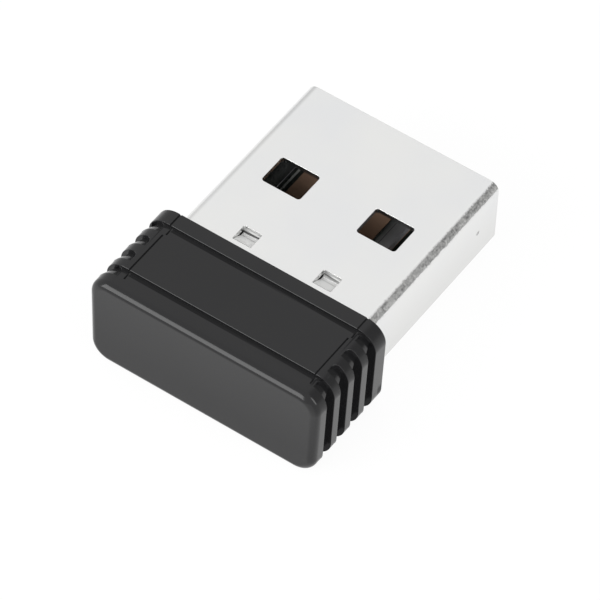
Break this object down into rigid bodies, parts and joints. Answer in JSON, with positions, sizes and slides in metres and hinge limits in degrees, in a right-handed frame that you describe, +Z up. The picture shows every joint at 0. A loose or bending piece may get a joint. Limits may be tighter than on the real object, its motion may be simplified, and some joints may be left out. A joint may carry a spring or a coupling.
{
  "type": "mouse jiggler",
  "caption": "Nano USB dongle that keeps a computer awake by reporting small pointer movements: metal Type-A plug in a short grooved black cap.",
  "frame": {"origin": "where the plug's axis crosses the plane of the housing's shoulder, which stops the plug in a port", "axes": "+X across the plug, +Y along the plug towards its tip, +Z up, out of the face whose windows look onto the contacts"},
  "size_m": [0.0142, 0.0183, 0.006],
  "materials": {
    "housing_black": "fine satin-gloss moulded ABS",
    "shell_nickel": "bright nickel plate on folded steel sheet",
    "carrier_black": "moulded heat-resistant plastic",
    "board_mask": "glass-fibre board under dark solder mask",
    "contact_gold": "thin gold plate over copper",
    "chip_black": "moulded epoxy",
    "lead_tin": "matte tin plate",
    "land_copper": "copper land, tinned",
    "solder": "smooth solder",
    "capacitor_brown": "fired ceramic",
    "resistor_black": "glazed ceramic"
  },
  "bodies": {
    "root": {"housing": "housing_black", "plug_shell": "shell_nickel", "contact_carrier": "carrier_black", "board_clamp": "carrier_black", "circuit_board": "board_mask", "power_contact": "contact_gold", "data_minus_contact": "contact_gold", "data_plus_contact": "contact_gold", "ground_contact": "contact_gold", "controller": "chip_black", "controller_leads": "lead_tin", "board_lands": "land_copper", "shell_solder": "solder", "component_solder": "solder", "supply_capacitor": "capacitor_brown", "supply_capacitor_ends": "lead_tin", "core_capacitor": "capacitor_brown", "core_capacitor_ends": "lead_tin", "boot_resistor": "resistor_black", "boot_resistor_ends": "lead_tin"}
  },
  "joints": []
}
